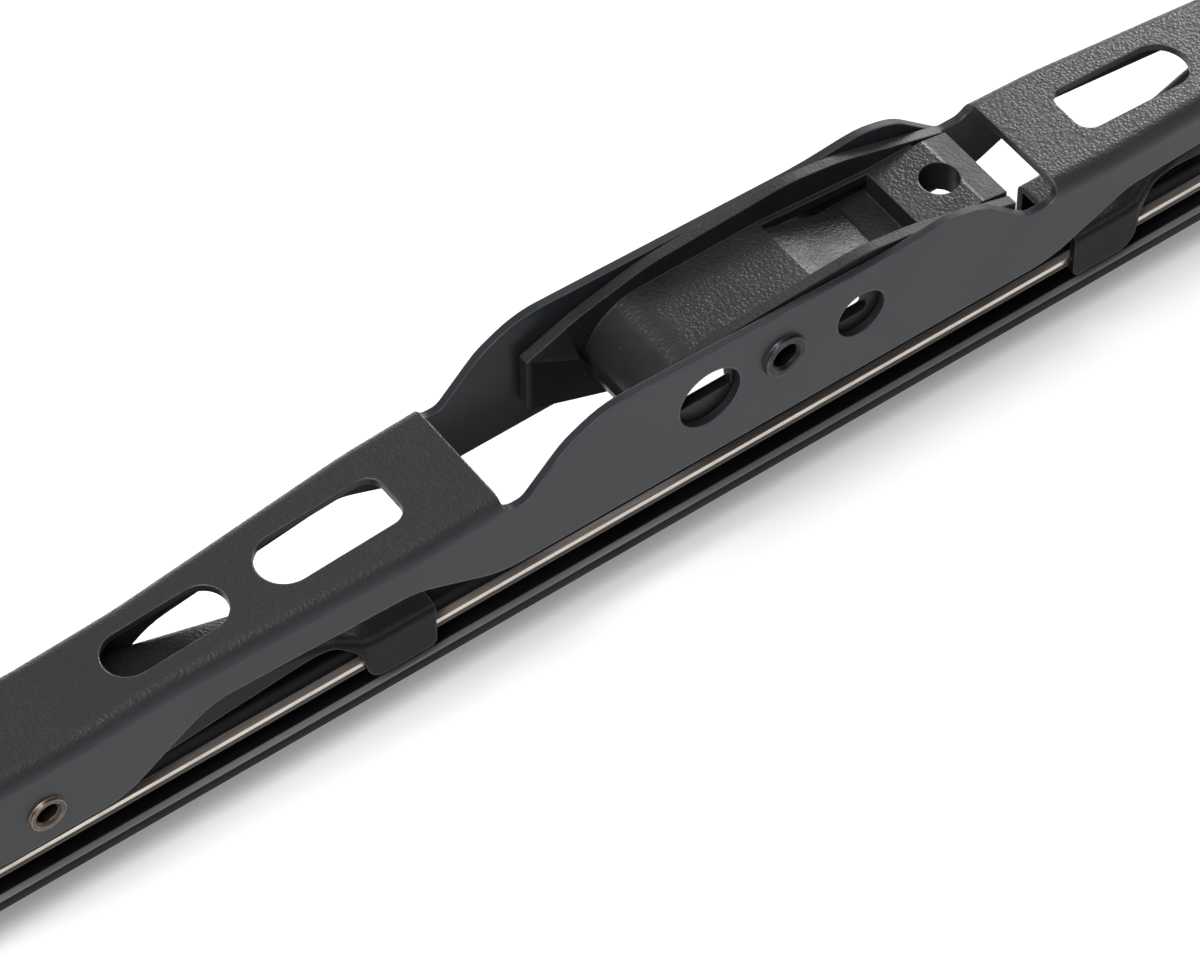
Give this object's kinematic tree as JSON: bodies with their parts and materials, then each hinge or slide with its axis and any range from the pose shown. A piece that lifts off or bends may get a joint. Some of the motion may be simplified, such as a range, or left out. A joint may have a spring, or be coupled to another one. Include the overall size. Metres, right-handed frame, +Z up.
{
  "type": "windscreen wiper blade",
  "caption": "Conventional framed wiper blade with a stamped bridge, swinging arm clip, hinged yokes with claws, steel rails and a flexible rubber wiping strip.",
  "frame": {"origin": "centre of the arm pivot rivet's axis, at mid width of the blade", "axes": "+X along the blade towards the clip's open end block, +Y across it along the rivets, +Z up from the rubber lip to the arm side"},
  "size_m": [0.35, 0.0164, 0.0347],
  "materials": {
    "bridge_paint": "satin wrinkle",
    "yoke_paint": "satin",
    "clip_plastic": "textured",
    "pivot_rivet_steel": "satin",
    "yoke_rivet_steel": "worn",
    "wiper_rubber": "matt",
    "rail_steel": "bright edge"
  },
  "bodies": {
    "bridge": {"main_bridge": "bridge_paint", "arm_pivot_rivet": "pivot_rivet_steel", "left_yoke_rivet": "yoke_rivet_steel", "right_yoke_rivet": "yoke_rivet_steel", "wiper_rubber": "wiper_rubber", "front_rail": "rail_steel", "back_rail": "rail_steel"},
    "clip": {"arm_clip": "clip_plastic"},
    "left_carrier": {"left_yoke": "yoke_paint"},
    "right_carrier": {"right_yoke": "yoke_paint"}
  },
  "joints": [
    {"name": "clip_pivot", "type": "hinge", "parent": "bridge", "child": "clip", "pos_m": [0, 0, 0], "axis": [0, 1, 0], "range_deg": [-20, 20]},
    {"name": "left_yoke_pivot", "type": "hinge", "parent": "bridge", "child": "left_carrier", "pos_m": [-0.0864, 0, -0.0084], "axis": [0, 1, 0], "range_deg": [-8, 8], "deforming": ["wiper_rubber", "front_rail", "back_rail"]},
    {"name": "right_yoke_pivot", "type": "hinge", "parent": "bridge", "child": "right_carrier", "pos_m": [0.0864, 0, -0.0084], "axis": [0, 1, 0], "range_deg": [-8, 8], "deforming": ["wiper_rubber", "front_rail", "back_rail"]}
  ]
}
